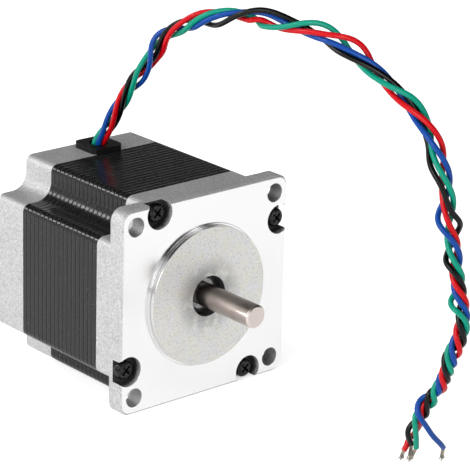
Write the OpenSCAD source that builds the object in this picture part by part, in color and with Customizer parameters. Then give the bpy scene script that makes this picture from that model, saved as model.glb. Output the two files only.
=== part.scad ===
// Hybrid stepper motor, 57 mm class, with four leads
// The shaft points along -Y, +Z is up, and the origin is where the shaft axis meets the mounting face

/* [Body] */
// Side of the square flange and of the body
face_w = 56.4; // [55:0.2:60]
// Thickness of the mounting flange
flange_t = 4.7; // [4.2:0.1:6]
// Corner radius of the flange
flange_r = 3.4; // [2:0.1:4]
// Chamfer round the front of the flange
flange_chamfer = 0.6; // [0.2:0.1:1]
// Depth of the front cover, from the mounting face to the laminations
front_cover_d = 10.3; // [9.6:0.1:14]
// Length of the lamination stack
stack_l = 32.2; // [24:0.2:60]
// Depth of the rear cover behind the laminations
rear_cover_d = 11.3; // [11:0.1:14]
// Radius of the hollow at each corner that clears a bolt head
notch_r = 4.7; // [4.2:0.1:5]
// Radius of the long outer edges of the body
edge_r = 2.1; // [1:0.1:2.4]
// Thinnest wall of the covers
cover_wall = 3.7; // [3:0.1:4]
// Thickness of the front cover's web
front_web = 4.4; // [3.6:0.1:4.8]
// Thickness of the rear cover's web
rear_web = 3.4; // [3:0.1:3.8]
// Number of grooves that show between the lamination packs
groove_count = 17; // [5:1:24]
// Width of a groove
groove_w = 0.3; // [0.1:0.05:0.4]
// Depth of a groove
groove_d = 0.15; // [0.05:0.05:0.3]

/* [Mounting] */
// Distance between neighbouring mounting holes
bolt_pitch = 47.14; // [46.8:0.02:47.4]
// Diameter of a mounting hole
bolt_d = 5.2; // [4.2:0.1:5.6]
// Diameter of the round pilot
pilot_d = 38.1; // [36:0.1:38.4]
// Height of the pilot
pilot_h = 1.6; // [1:0.1:2.2]
// Width of the relief groove round the pilot
relief_w = 0.6; // [0.2:0.1:0.8]
// Depth of the relief groove
relief_d = 0.2; // [0.1:0.05:0.4]
// Diameter of the hole in the pilot
pilot_hole_d = 11.2; // [9.4:0.1:13]
// Depth of the front bearing below the pilot's face
bearing_set_back = 2.6; // [2.2:0.1:3]

/* [Shaft] */
// Diameter of the shaft
shaft_d = 6.35; // [5:0.05:6.35]
// Length of the shaft in front of the mounting face
shaft_free_l = 20.6; // [12:0.2:40]
// Chamfer at the end of the shaft
shaft_chamfer = 0.5; // [0.2:0.1:1]
// Diameter of the shaft inside the rotor
rotor_seat_d = 8; // [7.4:0.1:8.4]
// Diameter of the shaft in its bearings
journal_d = 6; // [5.6:0.05:6.3]
// Distance from the front journal's step to the bearing
journal_lead = 0.8; // [0.2:0.1:1.2]

/* [Case screws] */
// Distance of each case screw from the edge of the face
screw_inset = 2.7; // [2.6:0.1:3]
// Distance of each case screw from the middle of its side
screw_offset = 15.8; // [14.6:0.1:16]
// Diameter of the counterbore over a screw
recess_d = 8.2; // [7.4:0.1:8.2]
// Depth of the counterbore
recess_depth = 3.3; // [3:0.1:3.6]
// Thread diameter of a case screw
screw_d = 3; // [2.5:0.1:3]
// Length of a case screw under its head
screw_l = 45; // [43:0.5:46.4]
// Clearance hole for a case screw
screw_hole_d = 3.4; // [3.2:0.1:3.4]
// Diameter of the screw head
head_d = 5.2; // [4.6:0.1:5.3]
// Height of the screw head
head_h = 1.7; // [1.4:0.1:2]
// Thickness of the spring washer
washer_t = 0.6; // [0.4:0.1:0.8]
// Depth of the cross recess in the head
cross_depth = 1.1; // [0.6:0.1:1.2]

/* [Stator] */
// Thickness of a pole's neck
neck_w = 6.8; // [5.6:0.2:7.2]
// Thickness of a pole shoe at its middle, teeth included
shoe_t = 2.3; // [2.1:0.1:2.3]
// Thickness of a pole shoe at its edge
shoe_edge_t = 1.4; // [1.2:0.1:1.5]
// Teeth on each pole shoe
pole_teeth = 5; // [3:1:5]
// Thickness of the end insulators
liner_t = 0.8; // [0.6:0.1:1]
// Thickness of an insulator's outer rim
rim_t = 0.5; // [0.3:0.1:0.6]
// Reach of the end turns past the insulator
turn_t = 2.2; // [1.4:0.1:2.2]
// Depth of the winding space between a pole's shoe and the ring round the poles
slot_depth = 4.6; // [4:0.1:5]
// Gap between neighbouring coils
coil_gap = 1.2; // [0.8:0.1:3]
// Corner radius of a coil's end turns
coil_r = 2; // [1:0.1:2.4]

/* [Rotor] */
// Radial gap between rotor and stator
air_gap = 0.1; // [0.08:0.01:0.2]
// Teeth on the rotor
rotor_teeth = 50; // [48:1:50]
// Depth of the teeth
tooth_depth = 0.9; // [0.6:0.1:1]
// How far the rotor ends inside the stack at each end
rotor_set_in = 0.5; // [0.3:0.1:2]
// Gap between the two rotor cups
cup_gap = 1; // [0.6:0.1:2]
// Thickness of the magnet
magnet_t = 4; // [3:0.2:6]
// Wall of a rotor cup round the magnet, teeth included
cup_wall = 5.5; // [4:0.1:7]

/* [Bearings] */
// Outer diameter of a bearing
bearing_od = 15.875; // [15.6:0.005:16.2]
// Width of a bearing
bearing_w = 4.98; // [4.6:0.02:5]
// Thickness of a bearing's inner and outer ring
ring_t = 1.28; // [1.2:0.02:1.4]
// Ball diameter
ball_d = 2.38; // [2.2:0.02:2.5]
// Balls in each bearing
ball_count = 8; // [6:1:9]
// Clearance between a ball and its grooves
ball_gap = 0.08; // [0.05:0.01:0.1]
// Width of the ball cage
cage_w = 3.2; // [3:0.1:3.4]
// Thickness of the ball cage
cage_t = 0.8; // [0.6:0.1:1]
// Thickness of a shield
shield_t = 0.25; // [0.15:0.05:0.3]
// Depth of a shield below the face of the bearing
shield_set_in = 0.15; // [0.1:0.05:0.2]
// Wall of the hub round each bearing
hub_wall = 2.8; // [2:0.1:3]
// Thickness of the wall behind the rear bearing
rear_lip = 2; // [1.6:0.1:2.2]
// Room for the wave washer behind the rear bearing
spring_room = 0.8; // [0.7:0.1:1]
// Thickness of the wave washer
spring_t = 0.3; // [0.2:0.05:0.35]
// How far the shaft reaches past the rear bearing
shaft_past = 0.2; // [0:0.05:0.4]

/* [Connections] */
// Thickness of the connection board
board_t = 1; // [0.8:0.1:1.2]
// Gap between the board and the rear web
board_gap = 0.3; // [0.2:0.1:0.4]
// Diameter of the pegs that carry the board
peg_d = 1.4; // [1.2:0.1:1.6]
// Diameter of a peg's pin in the board
peg_pin_d = 0.8; // [0.6:0.1:1]
// Diameter of a winding's wire end
winding_wire_d = 0.5; // [0.4:0.05:0.7]
// Diameter of a lead over its insulation
lead_d = 1.45; // [1.3:0.05:1.6]
// Diameter of a lead's conductor
conductor_d = 0.8; // [0.5:0.05:0.8]
// Distance between neighbouring leads of the bundle
lead_spacing = 1.66; // [1.66:0.02:1.8]
// Distance of the lead grommet from the middle of the side
grommet_x = 0.8; // [0:0.1:1.5]
// Width of the grommet's collar across the motor
collar_w = 9.7; // [8.6:0.1:11]
// Length of the grommet's collar along the motor
collar_l = 10.4; // [9:0.1:10.8]
// Height of the collar above the case
collar_h = 1.6; // [1:0.1:2.4]
// Corner radius of the collar
collar_r = 2; // [1:0.1:2.6]
// Side of the grommet's plug
plug_w = 7.4; // [7:0.1:7.6]
// Diameter of the hole through the grommet
grommet_hole_d = 5.4; // [4.6:0.1:5.6]

/* [Hidden] */
$fn = 96;

// Overrun of every cut past the face it goes through
over = 0.5;
// Clearance between pieces that sit tight in each other
seat_gap = 0.02;
// Clearance round a coil and in the slots
slot_gap = 0.3;
// Step between the covers' inside and the laminations' inside
rim_step = 0.5;
// Width of a tooth as a share of the tooth pitch
tooth_width_share = 0.42;
// Reach of the board's pins through it, as a share of the gap behind it
pin_reach_share = 0.6;
// Waves of the spring washer
spring_waves = 3;

half_w = face_w / 2;
bolt_at = bolt_pitch / 2;
cavity_r = half_w - cover_wall;
yoke_r = cavity_r - rim_step;

y_stack = front_cover_d;
y_stack_end = y_stack + stack_l;
y_end = y_stack_end + rear_cover_d;
y_rear_web = y_end - rear_web;

front_bearing_y = bearing_set_back - pilot_h;
front_shoulder_y = front_bearing_y + bearing_w;
spring_seat_y = y_end - rear_lip;
rear_shoulder_y = spring_seat_y - spring_room - bearing_w;
hub_r = bearing_od / 2 + hub_wall;

screw_at = [-screw_offset, half_w - screw_inset];
screw_head_y = recess_depth - washer_t;
screw_end_y = screw_head_y + screw_l;

pole_count = 8;
half_pole = 180 / pole_count;
bore_r = yoke_r - slot_depth - shoe_t;
rotor_r = bore_r - air_gap;
tooth_pitch = 360 / rotor_teeth;
shoe_angle = ((pole_teeth - 1) / 2 + tooth_width_share / 2) * tooth_pitch;
coil_inner_x = bore_r + shoe_t + seat_gap;
coil_outer_r = yoke_r - slot_gap;
coil_inner_half_w = (neck_w + liner_t) / 2;
coil_half_w = coil_inner_x * tan(half_pole) - coil_gap / (2 * cos(half_pole));
turn_end_y = y_stack_end + liner_t + turn_t;
turn_start_y = y_stack - liner_t - turn_t;
winding_r = (coil_inner_x + coil_outer_r) / 2;

board_y = y_rear_web - board_gap - board_t;
board_r = yoke_r - 2 * slot_gap;
board_hole_r = hub_r + 2 * slot_gap;
peg_r = board_r - peg_d / 2;
peg_angle = half_pole;
rotor_mid_y = y_stack + stack_l / 2;
cup_inner_y = rotor_mid_y - cup_gap / 2;
magnet_y = rotor_mid_y - magnet_t / 2;
magnet_r = rotor_r - cup_wall;

grommet_y = (turn_end_y + board_y) / 2;
exit_at = [grommet_x, grommet_y, half_w + collar_h];
plug_floor_z = yoke_r - slot_gap / 2;
tail_high_z = board_r - lead_d;
tail_low_z = tail_high_z - lead_d - conductor_d;
pin_reach = board_t + board_gap * pin_reach_share;

inner_land_r = journal_d / 2 + ring_t;
outer_land_r = bearing_od / 2 - ring_t;
ball_pitch_r = (inner_land_r + outer_land_r) / 2;

// Each lead's place in the bundle: its side along X and its side along the bend
RED_SIDE = [1, -1];
BLUE_SIDE = [-1, -1];
GREEN_SIDE = [-1, 1];
BLACK_SIDE = [1, 1];

// Route of the bundle from the top of the grommet, over the motor and down in front of it
lead_route = [
    [0, 0, 0], [0.3, -2.6, 3.7], [1, -10, 15], [2, -17.5, 24.5], [2.5, -24, 34], [3.5, -33, 40],
    [5, -45, 43.5], [7, -63, 46.5], [9, -81, 46], [10, -92, 42], [11.5, -103.5, 36], [12.5, -113, 29],
    [13, -118.5, 19], [13.5, -121, 6.5], [13.5, -124.5, -6], [14, -126.5, -18], [13.5, -123.5, -28],
    [13.5, -120, -36]
];
// Where each lead goes on from there, and the end of its bare tip
red_end = [[10.8, -112.6, -47], [10.8, -111.3, -54]];
blue_end = [[10, -118, -41.5], [12, -118.8, -47], [15.8, -118.8, -51], [19, -117.8, -54.5]];
green_end = [[12.8, -115, -47.5], [12.4, -114.5, -53.5]];
black_end = [[13.6, -112.6, -48], [14.3, -112, -53.5]];
red_tip = [10.8, -110.8, -57.7];
blue_tip = [19.3, -117.1, -57.7];
green_tip = [12.1, -113.3, -57.7];
black_tip = [14.2, -111.6, -57.7];
// How far the bundle turns about itself on its way
bundle_turn = -90;

// A flat shape drawn in X and Z, made into a slab from y0 to y1
module slab(y0, y1) {
    translate([0, y1, 0])
        rotate([90, 0, 0])
            linear_extrude(y1 - y0)
                children();
}

// A flat shape drawn in Z and Y, made into a block from x0 to x1
module block(x0, x1) {
    translate([x0, 0, 0])
        rotate([0, 90, 0])
            linear_extrude(x1 - x0)
                children();
}

// A profile of radius and Y, turned round the shaft axis
module turned() {
    rotate([-90, 0, 0])
        rotate_extrude()
            children();
}

// A round rod along Y
module rod_y(r, y0, y1) {
    translate([0, y0, 0])
        rotate([-90, 0, 0])
            cylinder(h = y1 - y0, r = r);
}

// Two rods and two blocks make a rounded rectangle
module rounded_rect(w, h, r) {
    square([w - 2 * r, h], center = true);
    square([w, h - 2 * r], center = true);
    for (sx = [-1, 1], sy = [-1, 1])
        translate([sx * (w / 2 - r), sy * (h / 2 - r)])
            circle(r);
}

module ring_2d(r_out, r_in) {
    difference() {
        circle(r_out);
        circle(r_in);
    }
}

// What is cut off a square corner to round it, with the corner at [0, 0] of its own quarter
module corner_cut(r) {
    difference() {
        translate([-r, -r])
            square(r + over);
        translate([-r, -r])
            circle(r);
    }
}

// Outline of the body: a square with a hollow at each corner for the bolt heads
module body_outline(inset = 0) {
    half = half_w - inset;
    hollow_r = notch_r + inset;
    flank = bolt_at - hollow_r;
    difference() {
        square(2 * half, center = true);
        for (k = [0:3])
            rotate(90 * k) {
                translate([bolt_at, bolt_at])
                    circle(hollow_r);
                translate([flank, bolt_at])
                    square(half_w);
                translate([bolt_at, flank])
                    square(half_w);
                translate([flank, half])
                    corner_cut(edge_r - inset);
                translate([half, flank])
                    corner_cut(edge_r - inset);
            }
    }
}

// The flange's front edge slopes: two sloped prisms and a cone at each corner
module chamfered_edge() {
    reach = half_w - flange_r;
    for (turn = [0, 90])
        rotate([0, turn, 0])
            translate([0, 0, -reach])
                linear_extrude(2 * reach)
                    polygon([
                        [flange_chamfer - half_w, 0], [half_w - flange_chamfer, 0],
                        [half_w, flange_chamfer], [-half_w, flange_chamfer]
                    ]);
    for (sx = [-1, 1], sz = [-1, 1])
        translate([sx * reach, 0, sz * reach])
            rotate([-90, 0, 0])
                cylinder(h = flange_chamfer, r1 = flange_r - flange_chamfer, r2 = flange_r);
}

module at_bolts() {
    for (sx = [-1, 1], sz = [-1, 1])
        translate([sx * bolt_at, 0, sz * bolt_at])
            children();
}

module at_screws() {
    for (k = [0:3])
        rotate([0, 90 * k, 0])
            translate([screw_at[0], 0, screw_at[1]])
                children();
}

module front_cover() color("gainsboro") difference() {
    union() {
        chamfered_edge();
        slab(flange_chamfer, flange_t)
            rounded_rect(face_w, face_w, flange_r);
        slab(flange_t, front_cover_d)
            body_outline();
        rod_y(pilot_d / 2, -pilot_h, flange_chamfer);
    }
    difference() {
        rod_y(cavity_r, front_web, front_cover_d + over);
        rod_y(hub_r, front_web - over, front_shoulder_y);
    }
    rod_y(bearing_od / 2 + seat_gap, front_bearing_y, front_cover_d);
    rod_y(pilot_hole_d / 2, -pilot_h - over, front_bearing_y + over);
    at_bolts()
        rod_y(bolt_d / 2, -over, flange_t + over);
    at_screws() {
        rod_y(recess_d / 2, -over, recess_depth);
        rod_y(screw_hole_d / 2, recess_depth - over, front_cover_d + over);
    }
    slab(-over, relief_d)
        ring_2d(pilot_d / 2 + relief_w, pilot_d / 2);
}

module rear_cover() color("silver") difference() {
    slab(y_stack_end, y_end)
        body_outline();
    difference() {
        rod_y(cavity_r, y_stack_end - over, y_rear_web);
        rod_y(hub_r, rear_shoulder_y, y_rear_web + over);
    }
    rod_y(bearing_od / 2 + seat_gap, rear_shoulder_y - over, spring_seat_y);
    at_screws()
        rod_y(screw_d / 2 + seat_gap, y_stack_end - over, screw_end_y + screw_d / 2);
    plug_block(plug_w + 2 * seat_gap, cavity_r - rim_step - over, half_w + over);
}

// A square block under the grommet's collar
module plug_block(w, z0, z1) {
    translate([grommet_x - w / 2, grommet_y - w / 2, z0])
        cube([w, w, z1 - z0]);
}

function polar(r, a) = [r * cos(a), r * sin(a)];

// Corners of one tooth whose tip is at radius r_tip and whose foot is at r_foot
function tooth(a, r_foot, r_tip) =
    let (half = tooth_pitch * tooth_width_share / 2)
    [polar(r_foot, a - half), polar(r_tip, a - half), polar(r_tip, a + half), polar(r_foot, a + half)];

// One pole: toothed shoe, sloped back and neck, along +X
module pole_outline() {
    teeth = [for (j = [0:pole_teeth - 1])
        each tooth((j - (pole_teeth - 1) / 2) * tooth_pitch, bore_r + tooth_depth, bore_r)];
    upper = [
        polar(bore_r + shoe_edge_t, shoe_angle), [bore_r + shoe_t, neck_w / 2], [yoke_r + rim_step, neck_w / 2]
    ];
    lower = [for (k = [2:-1:0]) [upper[k][0], -upper[k][1]]];
    outline = concat(teeth, upper, lower);
    polygon([for (k = [len(outline) - 1:-1:0]) outline[k]]);
}

module stator_core() color([0.12, 0.12, 0.12]) difference() {
    slab(y_stack, y_stack_end) {
        difference() {
            body_outline();
            circle(yoke_r);
        }
        for (k = [0:pole_count - 1])
            rotate(2 * half_pole * k)
                pole_outline();
    }
    for (k = [1:groove_count])
        groove(y_stack + k * stack_l / (groove_count + 1));
    at_screws()
        rod_y(screw_hole_d / 2, y_stack - over, y_stack_end + over);
}

// A shallow groove all round the laminations
module groove(y) {
    slab(y - groove_w / 2, y + groove_w / 2)
        difference() {
            square(face_w + 2 * over, center = true);
            body_outline(groove_d);
        }
}

// Plastic frame on one end of the stack: a strip on each pole, an inner collar and an outer rim
module insulator(y0, y1, collar_y0, collar_y1) {
    collar_r_out = bore_r + shoe_t - seat_gap;
    collar_r_in = bore_r + 2 * slot_gap;
    slab(y0, y1) {
        for (k = [0:pole_count - 1])
            rotate(2 * half_pole * k)
                translate([collar_r_in + liner_t, -coil_inner_half_w])
                    square([yoke_r - collar_r_in - liner_t, 2 * coil_inner_half_w]);
        ring_2d(yoke_r - slot_gap / 2 + rim_t, yoke_r - slot_gap / 2);
        ring_2d(collar_r_out, collar_r_in);
    }
    slab(collar_y0, collar_y1)
        ring_2d(collar_r_out, collar_r_in);
}

module front_insulator() color("ivory")
    insulator(y_stack - liner_t, y_stack, turn_start_y, y_stack);

module at_pegs() {
    for (k = [0:3])
        rotate([0, peg_angle + 90 * k, 0])
            translate([peg_r, 0, 0])
                children();
}

module rear_insulator() color("ivory") {
    insulator(y_stack_end, y_stack_end + liner_t, y_stack_end, turn_end_y);
    at_pegs() {
        translate([0, y_stack_end, -peg_d / 2])
            cube([yoke_r - peg_r, liner_t, peg_d]);
        rod_y(peg_d / 2, y_stack_end, board_y);
        rod_y(peg_pin_d / 2, board_y - over, board_y + pin_reach);
    }
}

// Cross-section of a coil: its outer side slopes to stay inside the ring round the poles
module coil_section() {
    edge_x = sqrt(pow(coil_outer_r, 2) - pow(coil_half_w, 2));
    top_x = sqrt(pow(coil_outer_r, 2) - pow(coil_inner_half_w, 2));
    polygon([
        [coil_inner_x, -coil_half_w], [edge_x, -coil_half_w], [top_x, -coil_inner_half_w],
        [top_x, coil_inner_half_w], [edge_x, coil_half_w], [coil_inner_x, coil_half_w]
    ]);
}

// A coil round the pole at this place, counted from +X
module coil(place) color("peru") {
    mid_y = (turn_start_y + turn_end_y) / 2;
    long = turn_end_y - turn_start_y;
    rotate([0, -2 * half_pole * place, 0])
        intersection() {
            slab(turn_start_y - over, turn_end_y + over)
                coil_section();
            block(coil_inner_x - over, yoke_r + over)
                translate([0, mid_y])
                    difference() {
                        rounded_rect(2 * coil_half_w + 2 * seat_gap, long, coil_r);
                        square([2 * coil_inner_half_w, long - 2 * turn_t], center = true);
                    }
        }
}

module at_winding_pins() {
    for (k = [0:3])
        rotate([0, 2 * half_pole + 90 * k, 0])
            translate([winding_r, 0, 0])
                children();
}

module winding_tails() color("orange")
    at_winding_pins()
        rod_y(winding_wire_d / 2, turn_end_y, board_y + pin_reach);

// The height at which a lead bends to the board: the front pair goes lower than the rear pair
function tail_z(side) = side[1] > 0 ? tail_high_z : tail_low_z;

module at_tail(side) {
    translate([grommet_x + side[0] * lead_spacing / 2, grommet_y + side[1] * lead_spacing / 2, 0])
        children();
}

module connection_board() color("darkgreen") difference() {
    rod_y(board_r, board_y, board_y + board_t);
    rod_y(board_hole_r, board_y - over, board_y + board_t + over);
    at_pegs()
        rod_y(peg_pin_d / 2 + seat_gap, board_y - over, board_y + board_t + over);
    at_winding_pins()
        rod_y(winding_wire_d / 2 + seat_gap, board_y - over, board_y + board_t + over);
    for (side = [RED_SIDE, BLUE_SIDE, GREEN_SIDE, BLACK_SIDE])
        translate([grommet_x + side[0] * lead_spacing / 2, 0, tail_z(side) - conductor_d])
            rod_y(conductor_d / 2 + seat_gap, board_y - over, board_y + board_t + over);
}

// Bare conductors that bend from the leads' inner ends into the board
module lead_conductors() color("orange")
    for (side = [RED_SIDE, BLUE_SIDE, GREEN_SIDE, BLACK_SIDE])
        at_tail(side)
            translate([0, 0, tail_z(side) - conductor_d]) {
                cylinder(h = conductor_d, r = conductor_d / 2);
                sphere(conductor_d / 2);
                rod_y(conductor_d / 2, 0, board_y + pin_reach - grommet_y - side[1] * lead_spacing / 2);
            }

// The leads' own stretches inside the case, up through the grommet
module lead_tails() color("dimgray")
    for (side = [RED_SIDE, BLUE_SIDE, GREEN_SIDE, BLACK_SIDE])
        at_tail(side)
            translate([0, 0, tail_z(side)])
                cylinder(h = exit_at[2] - tail_z(side), r = lead_d / 2);

module lead_grommet() color([0.08, 0.08, 0.08]) difference() {
    union() {
        translate([grommet_x, grommet_y, half_w])
            linear_extrude(collar_h)
                rounded_rect(collar_w, collar_l, collar_r);
        plug_block(plug_w, plug_floor_z, half_w + collar_h / 2);
    }
    translate([grommet_x, grommet_y, plug_floor_z - over])
        cylinder(h = exit_at[2] - plug_floor_z + 2 * over, r = grommet_hole_d / 2);
}

function unit(v) = v / norm(v);

// Direction of a route at point i: straight up where it leaves the grommet
function heading(p, i) =
    i == 0 ? [0, 0, 1] : unit(p[min(i + 1, len(p) - 1)] - p[i - 1]);

// The direction in the bend's plane that is square to the route
function bend_side(t) = unit(cross(t, [1, 0, 0]));

// One lead's own middle line: the bundle's route shifted to the lead's side, then its own end
function lead_line(side, tail) = concat(
    [for (i = [0:len(lead_route) - 1])
        let (a = bundle_turn * i / (len(lead_route) - 1),
            across = side[0] * cos(a) - side[1] * sin(a), up = side[0] * sin(a) + side[1] * cos(a))
        exit_at + lead_route[i]
        + lead_spacing / 2 * (across * [1, 0, 0] + up * bend_side(heading(lead_route, i)))],
    [for (p = tail) exit_at + p]
);

// A round tube as one polyhedron: a ring of points at each point of the line
module tube_along(line, r, sides) {
    n = len(line);
    rings = [for (i = [0:n - 1], k = [0:sides - 1])
        let (t = heading(line, i), v = bend_side(t), u = cross(v, t), a = 360 * k / sides)
        line[i] + r * (cos(a) * u + sin(a) * v)];
    walls = [for (i = [0:n - 2], k = [0:sides - 1])
        let (j = (k + 1) % sides, a = i * sides, b = a + sides)
        each [[a + k, b + j, a + j], [a + k, b + k, b + j]]];
    caps = [[for (k = [0:sides - 1]) k], [for (k = [sides - 1:-1:0]) (n - 1) * sides + k]];
    polyhedron(rings, concat(walls, caps));
}

module lead(side, tail)
    tube_along(lead_line(side, tail), lead_d / 2, 8);

module lead_red() color("red") lead(RED_SIDE, red_end);

module lead_blue() color("royalblue") lead(BLUE_SIDE, blue_end);

module lead_green() color("mediumseagreen") lead(GREEN_SIDE, green_end);

module lead_black() color([0.1, 0.1, 0.1]) lead(BLACK_SIDE, black_end);

// A straight round rod from point a to point b
module rod_between(a, b, r) {
    d = b - a;
    translate(a)
        rotate([0, acos(d[2] / norm(d)), atan2(d[1], d[0])])
            cylinder(h = norm(d), r = r);
}

module lead_tips() color("silver")
    for (pair = [[red_end, red_tip], [blue_end, blue_tip], [green_end, green_tip], [black_end, black_tip]])
        rod_between(exit_at + pair[0][len(pair[0]) - 1], exit_at + pair[1], conductor_d / 2);

// Profile of a pan head: flat under, round over its edge
module head_profile() {
    round_r = head_h * 0.6;
    arc = [for (a = [0:15:90]) [head_d / 2 - round_r + round_r * cos(a), -head_h + round_r - round_r * sin(a)]];
    polygon(concat([[0, 0], [head_d / 2, 0]], arc, [[0, -head_h]]));
}

module case_screws() color([0.1, 0.1, 0.1])
    at_screws()
        difference() {
            union() {
                translate([0, screw_head_y, 0])
                    turned()
                        head_profile();
                rod_y(screw_d / 2, screw_head_y, screw_end_y);
            }
            for (turn = [45, 135])
                rotate([0, turn, 0])
                    translate([-head_d * 0.3, screw_head_y - head_h - over, -screw_d * 0.1])
                        cube([head_d * 0.6, cross_depth + over, screw_d * 0.2]);
        }

// Spring washers, each split at one side
module screw_washers() color([0.14, 0.14, 0.14])
    at_screws()
        difference() {
            rod_y(head_d / 2, screw_head_y, recess_depth);
            rod_y(screw_d / 2 + seat_gap, screw_head_y - over, recess_depth + over);
            translate([0, screw_head_y - over, -screw_d * 0.05])
                cube([head_d, washer_t + 2 * over, screw_d * 0.1]);
        }

module shaft() color("lightsteelblue") turned() {
    r = shaft_d / 2;
    journal_r = journal_d / 2;
    seat_r = rotor_seat_d / 2;
    journal_y = front_bearing_y - journal_lead;
    end_y = rear_shoulder_y + bearing_w + shaft_past;
    polygon([
        [0, -shaft_free_l], [r - shaft_chamfer, -shaft_free_l], [r, shaft_chamfer - shaft_free_l],
        [r, journal_y], [journal_r, journal_y], [journal_r, front_shoulder_y],
        [seat_r, front_shoulder_y], [seat_r, rear_shoulder_y], [journal_r, rear_shoulder_y],
        [journal_r, end_y], [0, end_y]
    ]);
}

// A toothed rotor cup from y0 to y1, its teeth turned by some degrees, hollowed for the magnet
module rotor_cup(y0, y1, turn, pocket_y0, pocket_y1) {
    foot_r = rotor_r - tooth_depth;
    difference() {
        slab(y0, y1)
            polygon([for (j = [0:rotor_teeth - 1]) each tooth(turn + j * tooth_pitch, foot_r, rotor_r)]);
        rod_y(rotor_seat_d / 2 + seat_gap, y0 - over, y1 + over);
        rod_y(magnet_r + seat_gap, pocket_y0, pocket_y1);
    }
}

module rotor_cup_front() color("gray")
    rotor_cup(y_stack + rotor_set_in, cup_inner_y, 0, magnet_y, cup_inner_y + over);

module rotor_cup_rear() color("gray")
    rotor_cup(cup_inner_y + cup_gap, y_stack_end - rotor_set_in, tooth_pitch / 2,
        cup_inner_y, magnet_y + magnet_t);

module rotor_magnet() color("dimgray") difference() {
    rod_y(magnet_r, magnet_y, magnet_y + magnet_t);
    rod_y(rotor_seat_d / 2 + seat_gap, magnet_y - over, magnet_y + magnet_t + over);
}

// A bearing ring between two radii, with the ball groove cut in it
module bearing_ring(y, r_in, r_out) {
    turned()
        difference() {
            translate([r_in, y])
                square([r_out - r_in, bearing_w]);
            translate([ball_pitch_r, y + bearing_w / 2])
                circle(ball_d / 2 + ball_gap);
        }
}

module outer_ring(y) color("lightgray")
    bearing_ring(y, outer_land_r, bearing_od / 2);

module inner_ring(y) color("lightgray")
    bearing_ring(y, journal_d / 2 + seat_gap, inner_land_r);

module at_balls(y) {
    for (k = [0:ball_count - 1])
        rotate([0, 360 * k / ball_count, 0])
            translate([ball_pitch_r, y + bearing_w / 2, 0])
                children();
}

module cage(y) color("darkgray") difference() {
    turned()
        translate([ball_pitch_r - cage_t / 2, y + bearing_w / 2 - cage_w / 2])
            square([cage_t, cage_w]);
    at_balls(y)
        translate([-cage_t, 0, 0])
            rotate([0, 90, 0])
                cylinder(h = 2 * cage_t, r = ball_d / 2 + ball_gap);
}

module balls(y) color("white")
    at_balls(y)
        sphere(ball_d / 2);

module shields(y) color("darkgray") {
    gap = 2 * ball_gap;
    for (at = [y + shield_set_in, y + bearing_w - shield_set_in - shield_t])
        turned()
            translate([inner_land_r + gap, at])
                square([outer_land_r - inner_land_r - gap - seat_gap, shield_t]);
}

// A spring ring with three waves between the rear bearing and the cover
module wave_washer() color("gray") {
    steps = 48;
    r_out = bearing_od / 2 - 4 * ball_gap;
    r_in = outer_land_r - cage_t;
    mid_y = spring_seat_y - spring_room / 2;
    wave = (spring_room - spring_t) / 2 - seat_gap;
    points = [for (k = [0:steps - 1], c = [[r_in, -1], [r_out, -1], [r_out, 1], [r_in, 1]])
        let (a = 360 * k / steps)
        [c[0] * cos(a), mid_y + wave * cos(spring_waves * a) + c[1] * spring_t / 2, c[0] * sin(a)]];
    faces = [for (k = [0:steps - 1], c = [0:3])
        let (a = 4 * k, b = 4 * ((k + 1) % steps), d = (c + 1) % 4)
        each [[a + c, a + d, b + d], [a + c, b + d, b + c]]];
    polyhedron(points, faces);
}

front_cover();
rear_cover();
stator_core();
front_insulator();
rear_insulator();
coil(0);  // coil_a1
coil(1);  // coil_b1
coil(2);  // coil_a2
coil(3);  // coil_b2
coil(4);  // coil_a3
coil(5);  // coil_b3
coil(6);  // coil_a4
coil(7);  // coil_b4
winding_tails();
connection_board();
lead_conductors();
lead_tails();
lead_grommet();
lead_red();
lead_blue();
lead_green();
lead_black();
lead_tips();
case_screws();
screw_washers();
shaft();
rotor_cup_front();
rotor_cup_rear();
rotor_magnet();
outer_ring(front_bearing_y);  // front_outer_ring
inner_ring(front_bearing_y);  // front_inner_ring
shields(front_bearing_y);  // front_shields
cage(front_bearing_y);  // front_cage
balls(front_bearing_y);  // front_balls
outer_ring(rear_shoulder_y);  // rear_outer_ring
inner_ring(rear_shoulder_y);  // rear_inner_ring
shields(rear_shoulder_y);  // rear_shields
cage(rear_shoulder_y);  // rear_cage
balls(rear_shoulder_y);  // rear_balls
wave_washer();
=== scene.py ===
import math

import bpy
import numpy as np
from bpy.props import FloatProperty, FloatVectorProperty, IntProperty, PointerProperty
from mathutils import Matrix, Vector


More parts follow.
